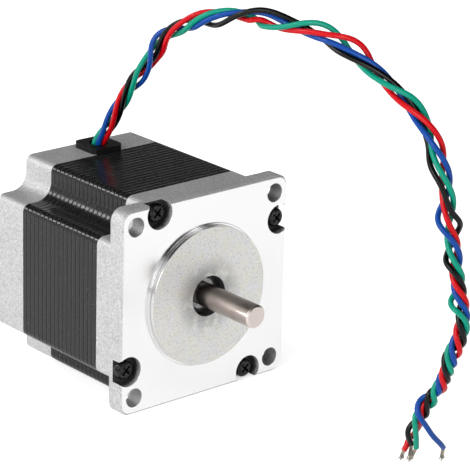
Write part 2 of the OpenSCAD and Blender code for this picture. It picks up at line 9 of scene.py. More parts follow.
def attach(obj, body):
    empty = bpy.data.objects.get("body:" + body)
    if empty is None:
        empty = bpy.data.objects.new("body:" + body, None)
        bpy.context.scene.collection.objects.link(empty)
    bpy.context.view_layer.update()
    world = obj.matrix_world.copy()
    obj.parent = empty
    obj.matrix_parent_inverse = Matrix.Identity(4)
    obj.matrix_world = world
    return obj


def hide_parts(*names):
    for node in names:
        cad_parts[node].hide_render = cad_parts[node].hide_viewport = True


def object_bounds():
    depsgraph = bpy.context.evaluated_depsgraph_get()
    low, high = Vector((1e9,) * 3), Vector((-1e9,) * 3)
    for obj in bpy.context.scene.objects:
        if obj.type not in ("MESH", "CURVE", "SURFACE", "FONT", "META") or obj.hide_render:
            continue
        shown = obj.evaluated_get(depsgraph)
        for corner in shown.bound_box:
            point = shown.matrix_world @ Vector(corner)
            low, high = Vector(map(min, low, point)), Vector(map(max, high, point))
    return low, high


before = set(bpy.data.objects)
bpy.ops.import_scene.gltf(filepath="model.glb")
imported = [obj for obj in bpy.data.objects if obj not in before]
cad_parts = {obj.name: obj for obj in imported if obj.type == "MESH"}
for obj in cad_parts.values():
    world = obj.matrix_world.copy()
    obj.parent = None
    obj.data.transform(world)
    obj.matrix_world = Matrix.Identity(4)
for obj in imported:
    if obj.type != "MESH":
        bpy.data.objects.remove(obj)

bl_info = {
    "name": "Stepper motor looks",
    "version": (1, 0, 0),
    "blender": (4, 5, 0),
    "location": "View3D > Sidebar > Motor",
    "description": "Camera, leads, finishes and studio for the packed stepper motor",
    "category": "Object",
}

CAD_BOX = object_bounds()
MM = 0.001

# Where the leads leave the grommet, and the middle of their bundle, measured from there.
# It is the route of part.scad, from a little way down the grommet's hole.
LEAD_EXIT = (0.0008, 0.0473, 0.0298)
LEAD_ROUTE = [
    (0, 0, -0.002), (0.0001, -0.0001, 0), (0.0008, -0.0022, 0.0037), (0.0014, -0.0094, 0.015),
    (0.002, -0.0175, 0.0245), (0.0025, -0.024, 0.034), (0.0035, -0.033, 0.04), (0.005, -0.045, 0.0435),
    (0.007, -0.063, 0.0465), (0.009, -0.081, 0.046), (0.01, -0.092, 0.042), (0.0115, -0.1035, 0.036),
    (0.0125, -0.113, 0.029), (0.013, -0.1185, 0.019), (0.0135, -0.121, 0.0065), (0.0135, -0.1245, -0.006),
    (0.014, -0.1265, -0.018), (0.0135, -0.1235, -0.028), (0.0135, -0.12, -0.036),
]
# How far down the grommet's hole the route starts, in millimetres
SUNK = 2
# Where each lead goes on from the end of its twist, measured from the grommet too
LEAD_ENDS = {
    "red": [
        (0.0129, -0.1151, -0.0469), (0.0131, -0.113, -0.0504), (0.0119, -0.1122, -0.053),
        (0.0109, -0.1118, -0.0548),
    ],
    "blue": [
        (0.0133, -0.1171, -0.0389), (0.0122, -0.1162, -0.0393), (0.0109, -0.116, -0.0402),
        (0.0101, -0.1164, -0.0415), (0.01, -0.1171, -0.0428), (0.0108, -0.1178, -0.0444),
        (0.012, -0.1182, -0.0462), (0.0142, -0.1184, -0.0493), (0.0168, -0.1185, -0.0519),
        (0.0187, -0.118, -0.0538),
    ],
    "green": [
        (0.0104, -0.1159, -0.0439), (0.0102, -0.116, -0.0461), (0.0111, -0.1157, -0.0495),
        (0.0122, -0.1149, -0.0532),
    ],
    "black": [
        (0.0112, -0.1137, -0.0469), (0.01, -0.1135, -0.0484), (0.0106, -0.1135, -0.0504),
        (0.0122, -0.1132, -0.0528),
    ],
}
# Where its bare tip ends
TIP_ENDS = {
    "red": (0.0116, -0.1103, -0.0577),
    "blue": (0.0194, -0.117, -0.0577),
    "green": (0.0128, -0.1122, -0.0577),
    "black": (0.0136, -0.1114, -0.0577),
}
# Lengths along the route from the top of the grommet, in millimetres, at which each lead passes in front
IN_FRONT = {
    "blue": [3, 35, 60, 112, 144, 166, 181, 196, 205.5, 219],
    "red": [13, 47, 102, 134, 163, 179, 192, 203.5, 216],
    "black": [20, 42, 70, 116, 158, 175, 188.5, 201, 213],
    "green": [25, 58, 92, 125, 151, 172, 184.5, 199, 208.5, 220.5],
}
# Quarter turns that each lead still has to make at the grommet before it comes to the front
QUARTERS_TO_FRONT = {"blue": 0, "red": 1, "black": 2, "green": 3}
# Lengths along the route, in millimetres, and how far the leads stand off its middle there
BUNDLE_RADIUS = [
    (0, 1.17), (6, 1.4), (20, 1.3), (40, 1.3), (55, 1.4), (75, 1.6), (90, 1.6), (108, 1.35), (125, 1.15),
    (150, 1.35), (175, 1.25), (225, 1.15),
]
# Loose loops, in millimetres: where along the route a lead stands out further, by how much, over what reach
LOOPS = {
    "red": [(38, 0.5, 5), (60, 0.7, 6), (110, 1.6, 6), (145, 0.6, 5), (188, 0.5, 3)],
    "blue": [(41, 0.7, 5), (80, 0.7, 6), (160.5, 1.7, 4.2), (192, 0.6, 2.8)],
    "green": [(29, 0.6, 4), (66, 0.7, 6), (99, 0.7, 6), (130, 0.9, 6), (181, 1.6, 2.5), (194.5, 1.0, 2)],
    "black": [
        (25, 0.4, 4), (37, -0.5, 5), (78, 0.9, 7), (108, 0.5, 6), (146, 1.4, 5), (162, 1.3, 3.5),
        (170.5, 1.2, 2.5), (196.5, 1.2, 2),
    ],
}
# How far each lead follows the bundle, in millimetres
TWIST_END = {"blue": 206, "red": 216, "black": 217, "green": 215}
LEAD_NODES = {"red": "lead_red", "blue": "lead_blue", "green": "lead_green", "black": "lead_black"}

# Zones of the covers' finish and of the shade painted on them, in metres. Depths run from the mounting face
# to the rear, the other distances from the shaft's middle line, round it or along one side of the square.
PILOT_FACE_DEPTH = -0.001
MOUNTING_FACE_DEPTH = 0.0003
PILOT_WALL_DEPTH = 0.00025
PILOT_WALL_RADII = (0.0185, 0.0186)
GROOVE_RADIUS = 0.0198
FLANGE_REACH = 0.02815
BORE_DEPTH = 0.0034
BORE_SHADE_DEPTHS = (0.0007, 0.0026)
BOLT_HOLE_REACHES = (0.0205, 0.0268)
BOLT_HOLE_DEPTH = 0.005
SHAFT_HOLE_RADIUS = 0.0057
SHAFT_HOLE_DEPTHS = (-0.0015, 0.02)
# Reach of the painted shade round the shaft hole
SHADE_ROUND_HOLE_RADII = (0.0056, 0.0125)

# Pattern of the connection board, in metres but for the weave's waves, in radians per metre
TRACK_RADII = (0.0135, 0.0165, 0.0195)
TRACK_HALF_WIDTH = 0.0005
PAD_RADIUS = 0.0009
WEAVE = 9000

# Thickness of one lamination of the rotor, and where the feet and the tips of its teeth lie
LAMINATION = 0.0005
TOOTH_RADII = (0.0160, 0.0169)

# Where each soft light stands, and how wide it is, in metres
LIGHTS = {
    "key": ((-0.95, -0.25, 0.30), 0.7),
    "front": ((0.35, -1.0, 0.45), 0.6),
    "top": ((-0.1, 0.1, 1.1), 0.7),
    "rim": ((-0.5, 0.68, 0.45), 0.2),
    "spark": ((-0.87, -0.12, 0.45), 0.2),
}
# Place, width and height of the strip light
STRIP = ((-0.9, 0.1, 0.13), 1.0, 0.12)
# How far floor and ceiling reach, and how far left, back and to the front the low card stands
FAR = 3.0
CARD_LEFT, CARD_BACK, CARD_FRONT = -0.8, 0.2, -0.8


def unit(vectors):
    """Each row divided by its own length."""
    return vectors / np.linalg.norm(vectors, axis=-1, keepdims=True)


def seen_from(azimuth, elevation):
    """Unit vector towards a viewer at these angles, in radians; azimuth 0 looks along +Y."""
    return np.array([
        math.sin(azimuth) * math.cos(elevation),
        -math.cos(azimuth) * math.cos(elevation),
        math.sin(elevation),
    ])


def length_along(points):
    """Running length of a line at each of its points."""
    return np.r_[0, np.cumsum(np.linalg.norm(np.diff(points, axis=0), axis=1))]


def smooth_line(points, step):
    """Even points on a smooth line through the given ones.

    Between two points the line is the cubic whose end slopes are the given points' own gradient
    over their chord length; it is sampled finely and then again at even steps of its length.
    """
    points = np.asarray(points, float)
    samples_per_point = 40
    at = length_along(points)
    slopes = np.gradient(points, at, axis=0)
    fine = np.linspace(0, at[-1], samples_per_point * len(points))
    k = np.clip(np.searchsorted(at, fine, side="right") - 1, 0, len(at) - 2)
    span = (at[k + 1] - at[k])[:, None]
    t = (fine - at[k])[:, None] / span
    line = (
        (2 * t**3 - 3 * t**2 + 1) * points[k]
        + (t**3 - 2 * t**2 + t) * span * slopes[k]
        + (3 * t**2 - 2 * t**3) * points[k + 1]
        + (t**3 - t**2) * span * slopes[k + 1]
    )
    return even_line(line, step)


def even_line(line, step):
    """The same line with points at even steps of its length."""
    at = length_along(line)
    even = np.linspace(0, at[-1], int(round(at[-1] / step)) + 1)
    return np.stack([np.interp(even, at, line[:, axis]) for axis in range(3)], 1)


def tube_parts(line, radius, sides):
    """Vertices, faces and UV corners of a round tube along a line, closed at both ends.

    Each point of the line carries a ring: point + radius * (cos a * side + sin a * up), where up is
    square to the line and to X, and side is square to both. U runs round the ring and V along it.
    """
    heading = unit(np.gradient(line, axis=0))
    up = unit(np.cross(heading, (1.0, 0.0, 0.0)))
    side = np.cross(up, heading)
    a = np.arange(sides) * 2 * np.pi / sides
    rings = line[:, None] + radius * (
        np.cos(a)[None, :, None] * side[:, None] + np.sin(a)[None, :, None] * up[:, None]
    )
    n = len(line)
    col = np.arange(sides)
    after = (col + 1) % sides
    row = np.arange(n - 1)[:, None] * sides
    walls = np.stack([row + col, row + after, row + sides + after, row + sides + col], -1).reshape(-1, 4)
    start = np.stack([np.full(sides, n * sides), after, col], -1)
    end = np.stack([np.full(sides, n * sides + 1), (n - 1) * sides + col, (n - 1) * sides + after], -1)
    along = length_along(line)
    wall_u = np.broadcast_to(np.stack([col, col + 1, col + 1, col], -1) / sides, (n - 1, sides, 4))
    wall_v = np.stack([along[:-1], along[:-1], along[1:], along[1:]], -1)[:, None]
    wall_v = np.broadcast_to(wall_v, wall_u.shape)
    uv = np.concatenate([np.stack([wall_u, wall_v], -1).reshape(-1, 2), np.zeros((6 * sides, 2))])
    vertices = np.concatenate([rings.reshape(-1, 3), line[:1], line[-1:]])
    return vertices, walls.tolist() + start.tolist() + end.tolist(), uv


def mesh_of(name, parts):
    """One smooth mesh from the vertices, faces and UV corners of several closed parts."""
    sharp = math.radians(50)
    vertices, faces, first = [], [], 0
    for points, corners, uv in parts:
        vertices.append(points)
        faces += [[k + first for k in face] for face in corners]
        first += len(points)
    mesh = bpy.data.meshes.new(name)
    mesh.from_pydata(np.concatenate(vertices), [], faces)
    layer = mesh.uv_layers.new(name="UVMap")
    layer.data.foreach_set("uv", np.concatenate([uv for _, _, uv in parts]).ravel())
    mesh.shade_smooth()
    mesh.set_sharp_from_angle(angle=sharp)
    return mesh


def place(name, mesh, body, finish):
    """A new piece from a mesh, riding on a body, with its slot and finish."""
    piece = bpy.data.objects.new(name, mesh)
    bpy.context.scene.collection.objects.link(piece)
    return dress(piece, body, finish)


def dress(piece, body, finish):
    """Lets a piece ride on a body and gives it its slot and finish."""
    piece.data.materials.clear()
    piece.data.materials.append(finish)
    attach(piece, body)
    return piece


def cover(finish, *nodes):
    """Gives carried-over CAD nodes their finish."""
    for name in nodes:
        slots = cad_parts[name].data.materials
        slots.clear()
        slots.append(finish)


def bundle_frame(line, near):
    """Two unit vectors square to a line at each point: towards the near side, and to its right."""
    heading = unit(np.gradient(line, axis=0))
    front = unit(near - (heading @ near)[:, None] * heading)
    return front, np.cross(heading, front)


def strand_line(colour, route, near):
    """One lead's twisted middle line before the leads are set clear of each other.

    On the bundle it is the route plus the bundle's radius along (cos a, sin a) of the near side and
    the right: a falls by one full turn between two places where the lead passes in front, and the
    radius has a bell-shaped rise at each loose loop. From the end of the twist the line goes on
    through the lead's own end points.
    """
    at = length_along(route) / MM - SUNK
    fronts = IN_FRONT[colour]
    keys = [0] + fronts
    turns = np.r_[-QUARTERS_TO_FRONT[colour] / 4, np.arange(len(fronts))]
    last_turn = keys[-1] - keys[-2]
    turn = np.interp(at, keys + [keys[-1] + last_turn], np.r_[turns, turns[-1] + 1])
    reach = 7
    window = np.hanning(2 * reach + 1)
    padded = np.pad(turn, reach, mode="reflect", reflect_type="odd")
    a = -2 * np.pi * np.convolve(padded, window / window.sum(), mode="valid")
    lengths, radii = zip(*BUNDLE_RADIUS)
    radius = np.interp(at, lengths, radii)
    for where, extra, spread in LOOPS[colour]:
        radius = radius + extra * np.exp(-(((at - where) / spread) ** 2))
    radius = radius[:, None] * MM
    front, right = bundle_frame(route, near)
    line = route + radius * (np.cos(a)[:, None] * front + np.sin(a)[:, None] * right)
    line = line[at <= TWIST_END[colour]]
    tail = np.array(LEAD_EXIT) + np.array(LEAD_ENDS[colour])
    return smooth_line(np.concatenate([line, tail]), MM / 2)


def set_clear(lines, distance, rounds):
    """Moves the lines apart until none is nearer to another than the distance.

    Each round, a point nearer to another line's point than that is pushed half of what is missing
    away from the nearest one; then all points go a little towards their neighbours' middle and, but
    for the last rounds, back towards where they were planned. The first and last points stay, and the
    few next to them are partly held.
    """
    smoothing, homing, last_rounds, held_points = 0.22, 0.06, 12, 6
    planned = [line.copy() for line in lines]
    for step in range(rounds):
        moved = []
        for i, line in enumerate(lines):
            push = np.zeros_like(line)
            for j, other in enumerate(lines):
                if i == j:
                    continue
                apart = line[:, None] - other[None]
                gap = np.linalg.norm(apart, axis=2)
                nearest = gap.argmin(1)
                rows = np.arange(len(line))
                near_gap = gap[rows, nearest][:, None]
                missing = np.clip(distance - near_gap, 0, None)
                push += missing / 2 * apart[rows, nearest] / np.maximum(near_gap, distance / 20)
            moved.append(line + push)
        homing_now = homing if step < rounds - last_rounds else 0
        for i, line in enumerate(moved):
            bend = np.zeros_like(line)
            bend[1:-1] = (line[2:] + line[:-2]) / 2 - line[1:-1]
            pull = (planned[i] - line) * homing_now
            from_end = np.minimum(np.arange(len(line)), np.arange(len(line))[::-1])
            free = np.clip(from_end / held_points, 0, 1)[:, None]
            lines[i] = planned[i] * (1 - free) + (line + smoothing * bend + pull) * free
    return lines


def tip_mesh(name, start, end, spread, wire, wires):
    """A stranded bare end: one wire in the middle and the others twisted round it.

    A wire's middle line is the straight line from start to end plus its own offset, which turns
    half a turn on the way and widens by the square of the way gone, to 0.4, 1 and 1.6 times the
    spread in turn. Three of four wires stop short of the end, by up to 0.12 of the way.
    """
    points, clearance, least_spread, spread_step, shortest = 14, 1.02, 0.4, 0.6, 0.12
    t = np.linspace(0, 1, points)[:, None]
    axis = unit(end - start)
    side = unit(np.cross(axis, (1.0, 0.0, 0.0)))
    other = np.cross(axis, side)
    parts = []
    for k in range(wires):
        reach = 0 if k == 0 else 1
        a = 2 * np.pi * k / (wires - 1) + np.pi * t
        widening = least_spread + spread_step * (k % 3)
        offset = reach * (wire * clearance + widening * spread * t**2)
        shortening = 1 - shortest * (k % 4) / 3
        line = start + (end - start) * t * shortening + offset * (np.cos(a) * side + np.sin(a) * other)
        parts.append(tube_parts(line, wire / 2, 8))
    return mesh_of(name, parts)


class Value:
    """A shader socket that stands in an expression: each operator adds one Math node."""

    def __init__(self, finish, socket):
        self.finish = finish
        self.socket = socket

    def __add__(self, other):
        return self.finish.maths("ADD", self, other)

    def __radd__(self, other):
        return self.finish.maths("ADD", other, self)

    def __sub__(self, other):
        return self.finish.maths("SUBTRACT", self, other)

    def __rsub__(self, other):
        return self.finish.maths("SUBTRACT", other, self)

    def __mul__(self, other):
        return self.finish.maths("MULTIPLY", self, other)

    def __rmul__(self, other):
        return self.finish.maths("MULTIPLY", other, self)

    def __lt__(self, other):
        return self.finish.maths("LESS_THAN", self, other)

    def __gt__(self, other):
        return self.finish.maths("GREATER_THAN", self, other)


class Finish:
    """One material: a Principled shader with its constants, and a method that adds any other node."""

    def __init__(self, name, constants=None):
        self.material = bpy.data.materials.new(name)
        self.material.use_nodes = True
        self.tree = self.material.node_tree
        self.tree.nodes.clear()
        self.shader = self.tree.nodes.new("ShaderNodeBsdfPrincipled")
        output = self.tree.nodes.new("ShaderNodeOutputMaterial")
        self.tree.links.new(self.shader.outputs[0], output.inputs[0])
        self.shade(constants or {})

    def feed(self, socket, value):
        """A value or a link for one socket."""
        if isinstance(value, Value):
            self.tree.links.new(value.socket, socket)
        else:
            socket.default_value = value

    def shade(self, sockets):
        """Values or links for the Principled shader's sockets."""
        for name, value in sockets.items():
            self.feed(self.shader.inputs[name], value)

    def add(self, kind, settings=None, sockets=None, output=0):
        """One node of any kind: its settings first, then its sockets."""
        node = self.tree.nodes.new("ShaderNode" + kind)
        for name, value in (settings or {}).items():
            setattr(node, name, value)
        for name, value in (sockets or {}).items():
            self.feed(node.inputs[name], value)
        return Value(self, node.outputs[output])

    def maths(self, operation, *values):
        return self.add("Math", {"operation": operation}, dict(enumerate(values)))

    def least(self, a, b):
        return self.maths("MINIMUM", a, b)

    def most(self, a, b):
        return self.maths("MAXIMUM", a, b)

    def fade(self, value, low, high):
        """0 below low, 1 above high, smooth between them."""
        sockets = {"Value": value, "From Min": low, "From Max": high}
        return self.add("MapRange", {"interpolation_type": "SMOOTHSTEP"}, sockets)

    def position(self):
        return self.add("TexCoord", output="Object")

    def axes(self, vector=None):
        """X, Y and Z of a vector, of the place on the object if none is given."""
        split = self.add("SeparateXYZ", None, {0: vector or self.position()})
        return [Value(self, split.socket.node.outputs[k]) for k in range(3)]

    def noise(self, scale, detail=2.0, roughness=0.5, vector=None):
        where = vector or self.position()
        sockets = {"Vector": where, "Scale": scale, "Detail": detail, "Roughness": roughness}
        return self.add("TexNoise", None, sockets)

    def lines(self, along, scale, detail):
        """A pattern that changes along one measure alone."""
        sockets = {"W": along, "Scale": scale, "Detail": detail}
        return self.add("TexNoise", {"noise_dimensions": "1D"}, sockets)

    def cells(self, scale):
        """Distance to the nearest point of a scattered pattern."""
        return self.add("TexVoronoi", None, {"Vector": self.position(), "Scale": scale})

    def size(self, value):
        """The value without its sign."""
        return self.maths("ABSOLUTE", value)

    def apart(self, x, z):
        """Distance from a middle line to a place that lies so far across and up from it."""
        return self.maths("SQRT", x * x + z * z)

    def mix(self, factor, a, b):
        """Colour a, or b where the factor is 1."""
        return self.add("Mix", {"data_type": "RGBA"}, {0: factor, 6: a, 7: b}, 2)

    def mix_value(self, factor, a, b):
        """Number a, or b where the factor is 1."""
        return a + factor * (b - a)

    def seen_straight(self):
        """1 for rays from the camera and for reflected or refracted ones."""
        path = self.add("LightPath").socket.node
        rays = ("Is Camera Ray", "Is Glossy Ray", "Is Transmission Ray")
        camera, glossy, through = (Value(self, path.outputs[name]) for name in rays)
        return self.most(camera, self.most(glossy, through))

    def rounded(self, radius):
        """The normal of edges rounded to a radius."""
        return self.add("Bevel", {"samples": 6}, {"Radius": radius})

    def facing(self):
        """The plain normal of the surface."""
        return self.add("NewGeometry", output="Normal")

    def edges(self, radius, reach=0.25):
        """1 on edges and 0 on flat faces: how far the rounded normal leans from the plain one."""
        normals = {0: self.rounded(radius), 1: self.facing()}
        lean = self.add("VectorMath", {"operation": "DOT_PRODUCT"}, normals, 1)
        return self.fade(1 - lean, 0.002, reach)

    def bump(self, height, distance, strength=1.0, normal=None):
        """Normal of a bumpy surface whose height runs from 0 to 1 over the distance."""
        sockets = {"Height": height, "Distance": distance, "Strength": strength}
        if normal:
            sockets["Normal"] = normal
        return self.add("Bump", None, sockets)


def shown(red, green, blue):
    """Colour as it looks on a screen, turned into the linear colour that a shader takes."""
    return (*(pow(c, 2.2) for c in (red, green, blue)), 1.0)


def grey(level):
    return shown(level, level, level)


def cast_aluminium(looks):
    """Die-cast covers: grained sides, edges lightened by wear and a painted highlight, turned face and pilot
    wall, rough pilot face with painted shade round the shaft hole, painted shade in the counterbores, bolt
    holes and shaft hole.
    """
    f = Finish("cast_aluminium")
    x, y, z = f.axes()
    normal_y = f.axes(f.facing())[1]
    ahead = normal_y < -0.9
    r = f.apart(x, z)
    outer, inner = f.most(f.size(x), f.size(z)), f.least(f.size(x), f.size(z))
    pilot_face = ahead * (y < PILOT_FACE_DEPTH)
    mounting_face = ahead * (y > PILOT_FACE_DEPTH) * (y < MOUNTING_FACE_DEPTH)
    pilot_wall = (1 - ahead) * (y < PILOT_WALL_DEPTH) * f.fade(r, *PILOT_WALL_RADII) * (r < GROOVE_RADIUS)
    turned = f.most(mounting_face, pilot_wall)
    bores = 1.0
    for turn in range(4):
        a, c = math.cos(turn * math.pi / 2), math.sin(turn * math.pi / 2)
        across = x - (looks.screw_across * a + looks.screw_up * c)
        up = z - (looks.screw_up * a - looks.screw_across * c)
        bores = f.least(bores, f.apart(across, up))
    mottle = f.noise(180, 4.0, 0.6)
    grain = f.noise(3600, 3.0, 0.7)
    speckle = f.fade(f.noise(2500, 2.0, 0.6), 0.28, 0.72)
    pits = f.fade(f.cells(1300), 0.1, 0.34)
    rings = f.lines(r, 5200, 3.0)
    cast = f.mix(speckle * 0.75 + mottle * 0.25, tint(looks.cast_dark), tint(looks.cast_light))
    cast = f.mix((1 - pits) * 0.25, cast, grey(0.4))
    # Edges lightened towards the machined colour: partly rubbed wear, partly a painted highlight along the
    # edges.
    worn_and_highlit_edges = f.edges(0.0004)
    cast = f.mix(worn_and_highlit_edges * 0.45, cast, tint(looks.machined))
    # Painted shade: the bolt holes' walls are darkened in a mottled way.
    least_reach, most_reach = BOLT_HOLE_REACHES
    bolt_hole_shade = (outer < most_reach) * (inner > least_reach) * (y < BOLT_HOLE_DEPTH)
    bolt_hole_shade = bolt_hole_shade * (1 - f.most(ahead, f.size(normal_y) > 0.9))
    cast = f.mix(bolt_hole_shade * (0.15 + 0.45 * mottle), cast, grey(0.3))
    plate = f.mix(rings, tint(looks.machined), grey(0.86))
    patches = f.fade(f.noise(420, 2.0), 0.35, 0.65)
    rough_face = f.mix(patches, shown(0.87, 0.865, 0.83), shown(0.86, 0.86, 0.865))
    rough_face = f.mix((1 - speckle) * 0.45, rough_face, grey(0.6))
    rough_face = f.mix((1 - pits) * 0.4, rough_face, grey(0.42))
    # Painted shade: the pilot face darkens in noisy patches towards the shaft hole; the slight even
    # darkening elsewhere is the face's own tone.
    shade_round_hole = f.fade(f.noise(260, 2.0), 0.25, 0.55) * (1 - f.fade(r, *SHADE_ROUND_HOLE_RADII))
    rough_face = f.mix(0.08 + 0.55 * shade_round_hole, rough_face, grey(0.44))
    colour = f.mix(turned, cast, plate)
    colour = f.mix(pilot_face, colour, rough_face)
    # Painted shade in the counterbores: walls darken from the rim down to a dark floor along a noisy edge,
    # and the shaded part is made less metallic.
    bore_shade_waver = f.noise(900, 2.0) * 0.0014 + (speckle - 0.5) * 0.0012
    black = (outer < FLANGE_REACH) * (bores < looks.bore_shade_radius) * (y < BORE_DEPTH)
    black = black * f.fade(y + bore_shade_waver, *BORE_SHADE_DEPTHS)
    colour = f.mix(black, colour, f.mix(speckle, tint(looks.black), grey(0.3)))
    # Painted shade: the walls inside the shaft hole are painted dark grey.
    first, last = SHAFT_HOLE_DEPTHS
    hole = (r < SHAFT_HOLE_RADIUS) * (y > first) * (y < last)
    colour = f.mix(hole, colour, grey(0.3))
    height = grain * (1 - turned * 0.97) * (1 + pilot_face * 0.6) + rings * turned * 0.03
    f.shade({
        "Base Color": colour,
        "Metallic": 0.55 + 0.45 * f.most(turned, pilot_face) - 0.3 * black,
        "Roughness": 0.46 - 0.34 * turned - 0.08 * pilot_face + 0.1 * grain,
        "Normal": f.bump(height, 0.00012, 0.8, f.rounded(looks.edge_radius)),
    })
    return f.material


def enamelled_laminations(looks):
    """Laminations under black enamel: fine lines across the stack, dust specks, thin bright edges."""
    f = Finish("enamelled_laminations", {"IOR": 1.5, "Specular IOR Level": 0.22})
    lines = f.lines(f.axes()[1], 2100, 2.0)
    cloud = f.noise(500, 3.0)
    specks = f.fade(f.cells(900), 0.06, 0.11)
    colour = f.mix(cloud, tint(looks.enamel), tint(looks.enamel_light))
    colour = f.mix(f.edges(0.0003) * 0.2, colour, grey(0.36))
    colour = f.mix((1 - specks) * 0.5, colour, grey(0.6))
    f.shade({
        "Base Color": colour,
        "Roughness": 0.15 + 0.12 * cloud,
        "Normal": f.bump(lines + 0.15 * f.noise(2500), 0.00003, 0.6, f.rounded(looks.edge_radius)),
    })
    return f.material


def ground_steel(looks):
    """Ground shaft: fine rings along it, a turned end face painted lighter as a painted reflection, a warm
    tint.
    """
    f = Finish("ground_steel", {"Metallic": 1.0})
    x, y, z = f.axes()
    end = f.axes(f.facing())[1] < -0.5
    rings = f.lines(y, 6000, 4.0)
    marks = f.lines(f.apart(x, z), 9000, 3.0)
    cloud = f.noise(300, 3.0)
    colour = f.mix(cloud, tint(looks.shaft), tint(looks.shaft_light))
    # Painted reflection: the end face is a lighter, pinker copy of the shaft's steel.
    colour = f.mix(end, colour, shown(0.76, 0.72, 0.70))
    f.shade({
        "Base Color": colour,
        "Roughness": 0.23 + 0.04 * rings + 0.09 * end,
        "Normal": f.bump(f.mix_value(end, rings, marks * 0.15), 0.00003, 0.8, f.rounded(0.00012)),
    })
    return f.material


def plain_metal(name, light, dark, roughness, looks, metallic=1.0, grain=5000, depth=0.00002):
    """A plain metal with a fine cloud of two shades, a slight grain and rounded edges."""
    f = Finish(name, {"Metallic": metallic})
    cloud = f.noise(900, 4.0)
    fine = f.noise(grain, 3.0)
    f.shade({
        "Base Color": f.mix(f.fade(cloud, 0.3, 0.7), dark, light),
        "Roughness": roughness + 0.12 * fine,
        "Normal": f.bump(fine, depth, 0.5, f.rounded(looks.edge_radius / 2)),
    })
    return f.material


def moulded(name, light, dark, roughness, looks, shine=0.3, grain=2600, depth=0.00004):
    """Moulded plastic or rubber: a soft cloud of two shades and a fine moulded grain."""
    f = Finish(name, {"IOR": 1.48, "Specular IOR Level": shine})
    cloud = f.noise(420, 3.0)
    fine = f.noise(grain, 3.0, 0.6)
    f.shade({
        "Base Color": f.mix(f.fade(cloud, 0.3, 0.7), dark, light),
        "Roughness": roughness + 0.15 * fine,
        "Normal": f.bump(fine, depth, 0.6, f.rounded(looks.edge_radius)),
    })
    return f.material


def wound_copper(name, angle, looks):
    """Enamelled copper wire wound round a pole at this angle: one rib for each turn, with painted shade in
    the grooves between turns.
    """
    f = Finish(name, {"Metallic": 0.9, "Coat Roughness": 0.15, "Coat Weight": 0.3})
    x, _, z = f.axes()
    reach = x * math.cos(angle) + z * math.sin(angle)
    waver = f.noise(300, 2.0) * 0.0004
    phase = (reach + waver) * (2 * math.pi / looks.winding_pitch)
    rib = f.maths("SINE", phase) * 0.5 + 0.5
    colour = f.mix(f.noise(700, 3.0), shown(0.62, 0.27, 0.10), shown(0.80, 0.42, 0.19))
    # Painted shade: dark copper in the grooves between the turns.
    colour = f.mix(1 - f.fade(rib, 0.0, 0.35), colour, shown(0.25, 0.08, 0.03))
    f.shade({
        "Base Color": colour,
        "Roughness": 0.26 + 0.1 * f.noise(3000),
        "Normal": f.bump(f.maths("SQRT", rib), 0.00012, 0.9),
    })
    return f.material


def circuit_board(looks):
    """Green board: weave under the mask, ring-shaped tracks and bright solder pads."""
    f = Finish("circuit_board", {"IOR": 1.5})
    x, _, z = f.axes()
    r = f.apart(x, z)
    weave = f.maths("SINE", x * WEAVE) * f.maths("SINE", z * WEAVE) * 0.5 + 0.5
    track = 0.0
    for radius in TRACK_RADII:
        track = f.most(track, f.size(r - radius) < TRACK_HALF_WIDTH)
    round_board = f.maths("ARCTAN2", z, x)
    track = track * (f.maths("SINE", round_board * 4) > -0.8)
    pads = 0.0
    for turn in range(4):
        a = turn * math.pi / 2 + math.pi / 4
        across = x - looks.pad_reach * math.cos(a)
        up = z - looks.pad_reach * math.sin(a)
        pads = f.most(pads, f.apart(across, up) < PAD_RADIUS)
    mask = f.mix(weave * 0.3, shown(0.05, 0.30, 0.14), shown(0.10, 0.38, 0.20))
    colour = f.mix(track, mask, shown(0.12, 0.48, 0.26))
    f.shade({
        "Base Color": f.mix(pads, colour, grey(0.82)),
        "Metallic": pads,
        "Roughness": 0.32 + 0.1 * f.noise(2000),
        "Normal": f.bump(track + pads + weave * 0.1, 0.00004, 0.8),
    })
    return f.material


def laminated_steel():
    """Rotor cups of bare electrical steel: lines across the stack, darker between the teeth."""
    f = Finish("laminated_steel", {"Metallic": 0.95})
    x, y, z = f.axes()
    lines = f.maths("SINE", y * (2 * math.pi / LAMINATION)) * 0.5 + 0.5
    bright = f.fade(f.apart(x, z), *TOOTH_RADII)
    colour = f.mix(f.noise(800, 3.0), grey(0.48), grey(0.6))
    colour = f.mix(bright * 0.7, colour, grey(0.75))
    f.shade({
        "Base Color": colour,
        "Roughness": 0.42 - 0.12 * bright,
        "Normal": f.bump(f.fade(lines, 0.0, 0.3), 0.00003, 0.7),
    })
    return f.material


def lead_jacket(name, colour):
    """Soft PVC insulation: faint drawn lines along the lead, a slight unevenness and dust."""
    f = Finish(name, {"IOR": 1.5, "Specular IOR Level": 0.2})
    along = f.add("UVMap", {"uv_map": "UVMap"})
    stretched = f.add("Mapping", None, {"Vector": along, "Scale": (40.0, 60.0, 1.0)})
    drawn = f.noise(1.0, 3.0, 0.6, stretched)
    cloud = f.noise(900, 3.0)
    dust = 1 - f.fade(f.cells(1100), 0.05, 0.12)
    shade = f.mix(0.25 * cloud, colour, tuple(0.72 * c for c in colour[:3]) + (1.0,))
    f.shade({
        "Base Color": f.mix(dust * 0.08, shade, grey(0.7)),
        "Roughness": 0.24 + 0.12 * drawn,
        "Normal": f.bump(drawn + 0.4 * cloud, 0.00004, 0.5),
    })
    return f.material


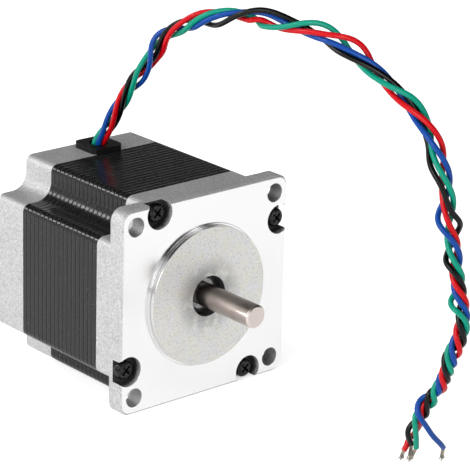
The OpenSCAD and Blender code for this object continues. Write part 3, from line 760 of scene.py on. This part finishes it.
def four_jackets(colours):
    """The leads' stretches inside the case, one colour in each quarter round the grommet's middle."""
    f = Finish("lead_tail_jackets", {"IOR": 1.5})
    x, y, _ = f.axes()
    right = x > LEAD_EXIT[0]
    back = y > LEAD_EXIT[1]
    left_pair = f.mix(back, colours["blue"], colours["green"])
    right_pair = f.mix(back, colours["red"], colours["black"])
    f.shade({
        "Base Color": f.mix(right, left_pair, right_pair),
        "Roughness": 0.32 + 0.1 * f.noise(1500),
        "Normal": f.bump(f.noise(2200, 3.0), 0.00003, 0.5),
    })
    return f.material


def tint(colour):
    """A colour property as the four numbers that a shader's socket takes."""
    return (*colour[:3], 1.0)


def colour_property(name, description, colour):
    return FloatVectorProperty(
        name=name, description=description, default=colour[:3], subtype="COLOR", size=3
    )


def length_property(name, description, metres):
    return FloatProperty(name=name, description=description, default=metres, unit="LENGTH", precision=5)


def angle_property(name, description, degrees):
    return FloatProperty(name=name, description=description, default=math.radians(degrees), subtype="ANGLE")


def power_property(name, description, value):
    return FloatProperty(name=name, description=description, default=value)


class MotorView(bpy.types.PropertyGroup):
    azimuth: angle_property("Azimuth", "Turn of the camera round the motor", -41.309)
    elevation: angle_property("Elevation", "Height of the camera's view", 19.478)
    roll: angle_property("Roll", "Tilt of the picture", 1.635)
    distance: length_property("Distance", "From the camera to the middle of the mounting face", 0.646922)
    aim_right: length_property("Aim right", "Picture's middle to the right of the shaft", 0.007896)
    aim_up: length_property("Aim up", "Picture's middle above the shaft", 0.01563)
    lens: FloatProperty(name="Lens", description="Focal length of the camera in millimetres", default=187.85)


class MotorLeads(bpy.types.PropertyGroup):
    diameter: length_property("Lead diameter", "Over the insulation", 0.00145)
    sides: IntProperty(name="Sides", description="Sides of a lead's round section", default=18, min=8)
    rounds: IntProperty(
        name="Rounds", description="Rounds in which the leads are set clear", default=70, min=1
    )
    wire: length_property("Wire", "Diameter of one wire of a bare tip", 0.0003)
    wires: IntProperty(name="Wires", description="Wires in a bare tip", default=7, min=3)
    spread: length_property("Spread", "How far the wires of a tip stand apart at its end", 0.00022)
    red: colour_property("Red", "Colour of the red lead", shown(0.77, 0.05, 0.10))
    blue: colour_property("Blue", "Colour of the blue lead", shown(0.06, 0.27, 0.58))
    green: colour_property("Green", "Colour of the green lead", shown(0.0, 0.56, 0.46))
    black: colour_property("Black", "Colour of the black lead", grey(0.04))


class MotorLooks(bpy.types.PropertyGroup):
    edge_radius: length_property("Edge radius", "How far edges look rounded", 0.00025)
    screw_across: length_property("Screw across", "Case screw from the middle of its side", -0.0158)
    screw_up: length_property("Screw up", "Case screw above the shaft", 0.0255)
    # Reach of the painted shade in the counterbores
    bore_shade_radius: length_property("Counterbore radius", "Where the counterbores are black", 0.00414)
    winding_pitch: length_property("Winding pitch", "Distance between turns of the windings", 0.00045)
    pad_reach: length_property("Pad reach", "Solder pads from the shaft", 0.0213)
    cast_light: colour_property("Cast, light", "Lighter shade of the cast sides", grey(0.81))
    cast_dark: colour_property("Cast, dark", "Darker shade of the cast sides", grey(0.6))
    machined: colour_property("Machined", "Turned mounting face", grey(0.87))
    # Colour of the painted shade deep in the counterbores
    black: colour_property("Counterbore black", "Paint in the counterbores", grey(0.12))
    enamel: colour_property("Enamel", "Laminations' enamel", grey(0.09))
    enamel_light: colour_property("Enamel, light", "Paler shade of the enamel", grey(0.15))
    shaft: colour_property("Shaft", "Darker shade of the shaft", shown(0.59, 0.55, 0.53))
    shaft_light: colour_property("Shaft, light", "Lighter shade of the shaft", shown(0.71, 0.67, 0.645))


class MotorStudio(bpy.types.PropertyGroup):
    key: power_property("Key", "Power of the soft light on the left", 7.1)
    front: power_property("Front", "Power of the soft light in front", 3.0)
    top: power_property("Top", "Power of the soft light above", 2.6)
    rim: power_property("Rim", "Power of the small light behind on the left", 2.2)
    spark: power_property("Spark", "Power of the small light on the left", 1.1)
    strip: power_property("Strip", "Power of the low strip on the left that lights the shaft alone", 14.0)
    fill: power_property("Fill", "Strength of the world's light", 0.3)
    ceiling: length_property("Ceiling", "Height of the dark ceiling that only reflections show", 0.7)
    ceiling_left: length_property("Ceiling's left edge", "How far left the dark ceiling starts", -0.5)
    card: length_property("Card", "Height of the dark card on the left that only reflections show", 0.14)
    floor: colour_property("Floor", "Colour of the floor", grey(0.97))
    glow: power_property("Floor glow", "White that the floor adds for the camera", 0.55)


def lead_colours(settings):
    return {name: tint(getattr(settings, name)) for name in LEAD_ENDS}


class MotorCamera(bpy.types.Operator):
    """Places the camera at the photograph's angle"""

    bl_idname = "motor.camera"
    bl_label = "Camera"

    def execute(self, context):
        view = context.scene.motor_view
        back = seen_from(view.azimuth, view.elevation)
        level = np.array([math.cos(view.azimuth), math.sin(view.azimuth), 0.0])
        rise = np.cross(back, level)
        right = math.cos(view.roll) * level + math.sin(view.roll) * rise
        up = math.cos(view.roll) * rise - math.sin(view.roll) * level
        camera = bpy.data.objects.new("motor_camera", bpy.data.cameras.new("motor_camera"))
        camera.data.lens = view.lens
        camera.data.clip_start = 0.01
        context.scene.collection.objects.link(camera)
        camera.location = Vector(back * view.distance + right * view.aim_right + up * view.aim_up)
        camera.rotation_euler = Matrix((right, up, back)).transposed().to_euler()
        context.scene.camera = camera
        return {"FINISHED"}


class MotorLeadBundle(bpy.types.Operator):
    """Makes the four twisted leads and their bare tips"""

    bl_idname = "motor.leads"
    bl_label = "Leads"

    def execute(self, context):
        settings = context.scene.motor_leads
        view = context.scene.motor_view
        near = seen_from(view.azimuth, view.elevation)
        colours = lead_colours(settings)
        ends = [np.mean([LEAD_ENDS[name][0] for name in ("red", "green", "black")], axis=0)]
        route = np.array(LEAD_EXIT) + smooth_line(LEAD_ROUTE + ends, MM / 2)
        names = list(LEAD_ENDS)
        planned = [strand_line(name, route, near) for name in names]
        lines = set_clear(planned, settings.diameter, settings.rounds)
        looks = context.scene.motor_looks
        tinned = plain_metal("tinned_wire", shown(0.66, 0.62, 0.55), grey(0.42), 0.3, looks)
        for name, line in zip(names, lines):
            line = even_line(line, MM / 2)
            jacket = lead_jacket(f"{name}_jacket", colours[name])
            mesh = mesh_of(f"{name}_lead", [tube_parts(line, settings.diameter / 2, settings.sides)])
            lead = place(f"{name}_lead", mesh, "housing", jacket)
            end = np.array(LEAD_EXIT) + np.array(TIP_ENDS[name])
            start = line[-1] - unit(end - line[-1]) * settings.diameter / 2
            mesh = tip_mesh(f"{name}_tip", start, end, settings.spread, settings.wire, settings.wires)
            tip = place(f"{name}_tip", mesh, "housing", tinned)
            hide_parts(LEAD_NODES[name])
            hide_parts("lead_tips")
        return {"FINISHED"}


class MotorCovers(bpy.types.Operator):
    """Gives the two die-cast covers their finish"""

    bl_idname = "motor.covers"
    bl_label = "Covers"

    def execute(self, context):
        cover(cast_aluminium(context.scene.motor_looks), "front_cover", "rear_cover")
        return {"FINISHED"}


class MotorStator(bpy.types.Operator):
    """Gives the laminations, insulators, coils and wire ends their finishes"""

    bl_idname = "motor.stator"
    bl_label = "Stator"

    def execute(self, context):
        looks = context.scene.motor_looks
        cover(enamelled_laminations(looks), "stator_core")
        nylon = moulded("nylon", shown(0.90, 0.87, 0.78), shown(0.84, 0.80, 0.70), 0.42, looks)
        cover(nylon, "front_insulator", "rear_insulator")
        for place_on_ring in range(8):
            phase = "ab"[place_on_ring % 2]
            name = f"coil_{phase}{place_on_ring // 2 + 1}"
            cover(wound_copper(f"windings_{place_on_ring}", place_on_ring * math.pi / 4, looks), name)
        wire = plain_metal("enamelled_wire", shown(0.80, 0.42, 0.19), shown(0.62, 0.27, 0.10), 0.28, looks)
        cover(wire, "winding_tails")
        return {"FINISHED"}


class MotorConnections(bpy.types.Operator):
    """Gives the grommet, the board and the leads' inner ends their finishes"""

    bl_idname = "motor.connections"
    bl_label = "Connections"

    def execute(self, context):
        looks = context.scene.motor_looks
        colours = lead_colours(context.scene.motor_leads)
        cover(moulded("black_rubber", grey(0.035), grey(0.02), 0.4, looks, 0.2), "lead_grommet")
        cover(circuit_board(looks), "connection_board")
        cover(plain_metal("tinned_conductor", grey(0.86), grey(0.66), 0.25, looks), "lead_conductors")
        cover(four_jackets(colours), "lead_tails")
        return {"FINISHED"}


class MotorScrews(bpy.types.Operator):
    """Gives the case screws and their washers their finish"""

    bl_idname = "motor.screws"
    bl_label = "Case screws"

    def execute(self, context):
        looks = context.scene.motor_looks
        cover(plain_metal("black_oxide", grey(0.21), grey(0.08), 0.17, looks, 0.8), "case_screws")
        cover(plain_metal("black_oxide_washer", grey(0.30), grey(0.18), 0.4, looks, 0.7), "screw_washers")
        return {"FINISHED"}


class MotorRotor(bpy.types.Operator):
    """Gives the shaft, the rotor cups and the magnet their finishes"""

    bl_idname = "motor.rotor"
    bl_label = "Rotor"

    def execute(self, context):
        looks = context.scene.motor_looks
        cover(ground_steel(looks), "shaft")
        cover(laminated_steel(), "rotor_cup_front", "rotor_cup_rear")
        magnet = plain_metal("sintered_magnet", grey(0.36), grey(0.24), 0.5, looks, 0.6, 2500, 0.00005)
        cover(magnet, "rotor_magnet")
        return {"FINISHED"}


class MotorBearings(bpy.types.Operator):
    """Gives both bearings and the wave washer their finishes"""

    bl_idname = "motor.bearings"
    bl_label = "Bearings"

    def execute(self, context):
        looks = context.scene.motor_looks
        ring_steel = plain_metal("bearing_steel", grey(0.52), grey(0.42), 0.16, looks)
        shield_steel = plain_metal("shield_steel", grey(0.30), grey(0.2), 0.3, looks, 0.8)
        ball_steel = plain_metal("ball_steel", grey(0.93), grey(0.86), 0.06, looks, 1.0, 9000, 0.000005)
        light, dark = shown(0.55, 0.54, 0.58), shown(0.42, 0.41, 0.46)
        spring_steel = plain_metal("spring_steel", light, dark, 0.28, looks)
        for end in ("front", "rear"):
            cover(ring_steel, f"{end}_outer_ring", f"{end}_inner_ring")
            cover(shield_steel, f"{end}_shields", f"{end}_cage")
            cover(ball_steel, f"{end}_balls")
        cover(spring_steel, "wave_washer")
        return {"FINISHED"}


class MotorStage(bpy.types.Operator):
    """Makes the pale floor, the dark cards, the white world and the studio lights"""

    bl_idname = "motor.stage"
    bl_label = "Stage"

    def execute(self, context):
        studio = context.scene.motor_studio
        self.floor(studio)
        self.cards(studio)
        self.world(context.scene, studio)
        for name, (spot, width) in LIGHTS.items():
            self.light(f"{name}_light", spot, width, getattr(studio, name))
        spot, width, height = STRIP
        strip = self.light("strip_light", spot, width, studio.strip, height)
        reached = bpy.data.collections.new("strip_light_reaches")
        reached.objects.link(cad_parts["shaft"])
        strip.light_linking.receiver_collection = reached
        return {"FINISHED"}

    def floor(self, studio):
        """A wide floor under the motor, which adds its own white for the camera and for reflections."""
        constants = {"Base Color": tint(studio.floor), "Roughness": 0.9, "Emission Strength": studio.glow}
        f = Finish("pale_floor", constants)
        black, white = (0.0, 0.0, 0.0, 1.0), (1.0, 1.0, 1.0, 1.0)
        f.shade({"Emission Color": f.mix(f.seen_straight(), black, white)})
        low = CAD_BOX[0].z
        corners = [(-FAR, -FAR, low), (FAR, -FAR, low), (FAR, FAR, low), (-FAR, FAR, low)]
        self.sheet("floor", corners, f.material)

    def cards(self, studio):
        """A dark ceiling and a low dark card on the left, for the metal to reflect besides white."""
        f = Finish("dark_card", {"Base Color": grey(0.1), "Roughness": 1.0, "Specular IOR Level": 0.0})
        left, top = studio.ceiling_left, studio.ceiling
        low, high = CAD_BOX[0].z, CAD_BOX[0].z + studio.card
        overhead = [(left, -FAR, top), (FAR, -FAR, top), (FAR, FAR, top), (left, FAR, top)]
        upright = [
            (CARD_LEFT, CARD_BACK, low), (CARD_LEFT, CARD_FRONT, low),
            (CARD_LEFT, CARD_FRONT, high), (CARD_LEFT, CARD_BACK, high),
        ]
        cards = (
            self.sheet("ceiling", overhead, f.material),
            self.sheet("low_card", upright, f.material),
        )
        for card in cards:
            for rays in ("camera", "diffuse", "transmission", "volume_scatter", "shadow"):
                setattr(card, f"visible_{rays}", False)

    def sheet(self, name, corners, finish):
        """A flat sheet with four corners, which isn't part of the object."""
        mesh = bpy.data.meshes.new(name)
        mesh.from_pydata(corners, [], [(0, 1, 2, 3)])
        mesh.materials.append(finish)
        item = bpy.data.objects.new(name, mesh)
        bpy.context.scene.collection.objects.link(item)
        return item

    def world(self, scene, studio):
        """White for the camera and for reflections, a low fill for everything else."""
        world = bpy.data.worlds.new("studio")
        world.use_nodes = True
        tree = world.node_tree
        path = tree.nodes.new("ShaderNodeLightPath")
        straight = path.outputs["Is Camera Ray"]
        for other in ("Is Glossy Ray", "Is Transmission Ray"):
            either = tree.nodes.new("ShaderNodeMath")
            either.operation = "MAXIMUM"
            tree.links.new(straight, either.inputs[0])
            tree.links.new(path.outputs[other], either.inputs[1])
            straight = either.outputs[0]
        strength = tree.nodes.new("ShaderNodeMapRange")
        strength.inputs["To Min"].default_value = studio.fill
        tree.links.new(straight, strength.inputs["Value"])
        background = tree.nodes["Background"]
        background.inputs["Color"].default_value = (1.0, 1.0, 1.0, 1.0)
        tree.links.new(strength.outputs[0], background.inputs["Strength"])
        scene.world = world
        scene.view_settings.view_transform = "Standard"

    def light(self, name, spot, width, power, height=None):
        """A soft light that faces the motor, square if it has no height of its own."""
        lamp = bpy.data.lights.new(name, "AREA")
        lamp.shape = "RECTANGLE"
        lamp.size = width
        lamp.size_y = height or width
        lamp.energy = power
        item = bpy.data.objects.new(name, lamp)
        bpy.context.scene.collection.objects.link(item)
        item.location = spot
        item.rotation_euler = Vector(spot).to_track_quat("Z", "Y").to_euler()
        return item


class MotorPanel(bpy.types.Panel):
    """Every step of the motor's looks, in order"""

    bl_idname = "VIEW3D_PT_motor"
    bl_label = "Stepper motor"
    bl_space_type = "VIEW_3D"
    bl_region_type = "UI"
    bl_category = "Motor"

    def draw(self, context):
        for step in STEPS:
            self.layout.operator(step.bl_idname)


STEPS = (
    MotorCamera, MotorLeadBundle, MotorCovers, MotorStator, MotorConnections,
    MotorScrews, MotorRotor, MotorBearings, MotorStage,
)
GROUPS = {
    "motor_view": MotorView,
    "motor_leads": MotorLeads,
    "motor_looks": MotorLooks,
    "motor_studio": MotorStudio,
}


def register():
    for group in (*GROUPS.values(), *STEPS, MotorPanel):
        bpy.utils.register_class(group)
    for name, group in GROUPS.items():
        setattr(bpy.types.Scene, name, PointerProperty(type=group))


def unregister():
    for name in GROUPS:
        delattr(bpy.types.Scene, name)
    for group in reversed((*GROUPS.values(), *STEPS, MotorPanel)):
        bpy.utils.unregister_class(group)


def main():
    register()
    bpy.ops.motor.camera()
    bpy.ops.motor.leads()
    bpy.ops.motor.covers()
    bpy.ops.motor.stator()
    bpy.ops.motor.connections()
    bpy.ops.motor.screws()
    bpy.ops.motor.rotor()
    bpy.ops.motor.bearings()
    bpy.ops.motor.stage()


if __name__ == "__main__":
    main()
